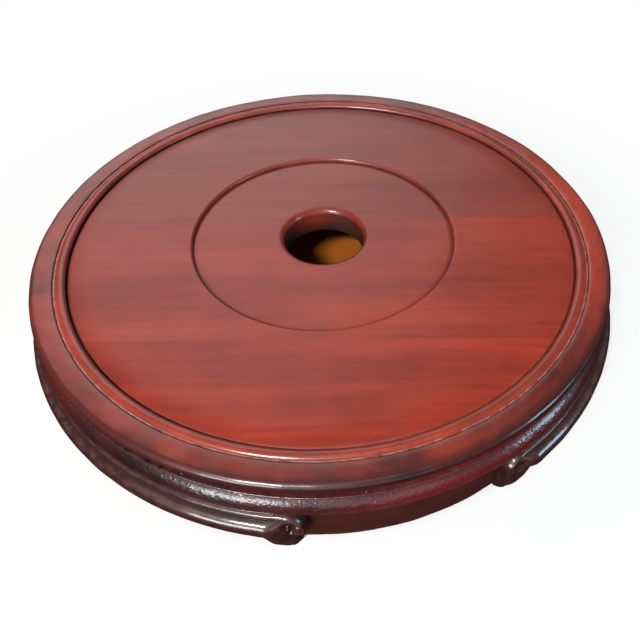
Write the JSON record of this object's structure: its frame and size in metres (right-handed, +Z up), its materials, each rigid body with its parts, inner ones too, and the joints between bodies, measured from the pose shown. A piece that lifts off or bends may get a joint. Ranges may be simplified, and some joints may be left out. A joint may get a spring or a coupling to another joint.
{
  "type": "vase stand",
  "caption": "Low round lacquered hardwood stand with a sunk field, a stepped seat round a through hole, a waisted rim, a torus moulding and three scroll feet.",
  "frame": {"origin": "on the floor, under the centre of the hole", "axes": "+Z up; -Y is the front, 11.5 degrees to the left of the middle of a plain apron stretch between two feet; +X is the right"},
  "size_m": [0.2992, 0.2986, 0.0499],
  "materials": {
    "panel_wood": "red-brown stain under gloss lacquer, grain along the boards",
    "rim_wood": "red-brown stain under gloss lacquer, worn at the quirk",
    "moulding_wood": "dark red-brown stain under gloss lacquer",
    "apron_wood": "dark red-brown stain under gloss lacquer",
    "foot_wood": "dark red-brown stain under gloss lacquer",
    "inner_wood": "bare, sanded hardwood"
  },
  "bodies": {
    "root": {"back_board": "panel_wood", "middle_board": "panel_wood", "front_board": "panel_wood", "batten_left": "inner_wood", "batten_right": "inner_wood", "rim_arc_front_right": "rim_wood", "rim_arc_back_right": "rim_wood", "rim_arc_back_left": "rim_wood", "rim_arc_front_left": "rim_wood", "rim_pins": "inner_wood", "moulding_front_right": "moulding_wood", "moulding_back_right": "moulding_wood", "moulding_back_left": "moulding_wood", "moulding_front_left": "moulding_wood", "apron_front": "apron_wood", "apron_right": "apron_wood", "apron_left": "apron_wood", "foot_right": "foot_wood", "foot_back": "foot_wood", "foot_left": "foot_wood", "ring_dowels": "inner_wood", "foot_dowels": "inner_wood"}
  },
  "joints": []
}
